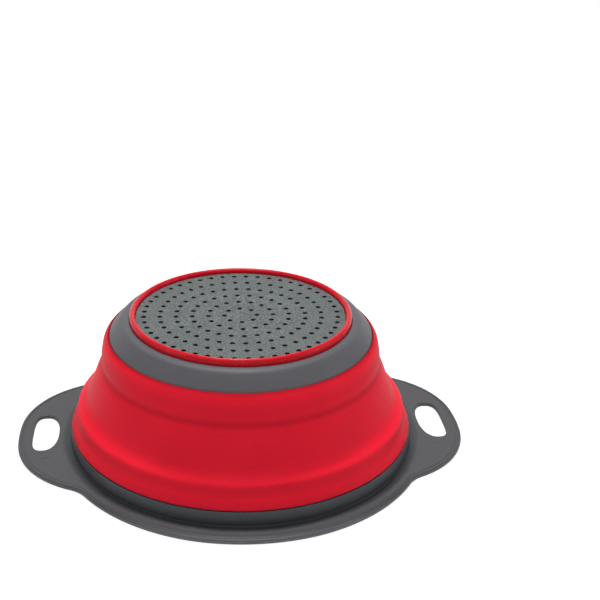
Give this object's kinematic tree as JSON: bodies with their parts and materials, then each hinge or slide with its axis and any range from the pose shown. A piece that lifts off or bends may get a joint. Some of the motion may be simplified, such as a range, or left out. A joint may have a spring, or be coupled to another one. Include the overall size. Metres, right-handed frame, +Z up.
{
  "type": "collapsible colander",
  "caption": "Collapsible colander with a rigid two-handled rim, a folding soft wall and a perforated base with a soft foot ring.",
  "frame": {"origin": "centre of the rim's face, which rests on the surface while the colander stands upside down", "axes": "+Z up through the middle of the strainer plate, X through both handles"},
  "size_m": [0.278, 0.24, 0.0846],
  "materials": {
    "grey_plastic": "satin moulded plastic, dark warm grey",
    "grey_plate_plastic": "finely grained moulded plastic, dark grey",
    "red_silicone": "satin silicone, bright red"
  },
  "bodies": {
    "rim": {"rim_frame": "grey_plastic", "wall_rim_band": "red_silicone", "wall_fold_band": "red_silicone"},
    "base": {"wall_base_band": "red_silicone", "base_cup": "grey_plastic", "strainer_plate": "grey_plate_plastic", "foot_ring": "red_silicone"}
  },
  "joints": [
    {"name": "collapse", "type": "slide", "parent": "rim", "child": "base", "axis": [0, 0, -1], "range_m": [0, 0.051], "deforming": ["wall_fold_band"]}
  ]
}
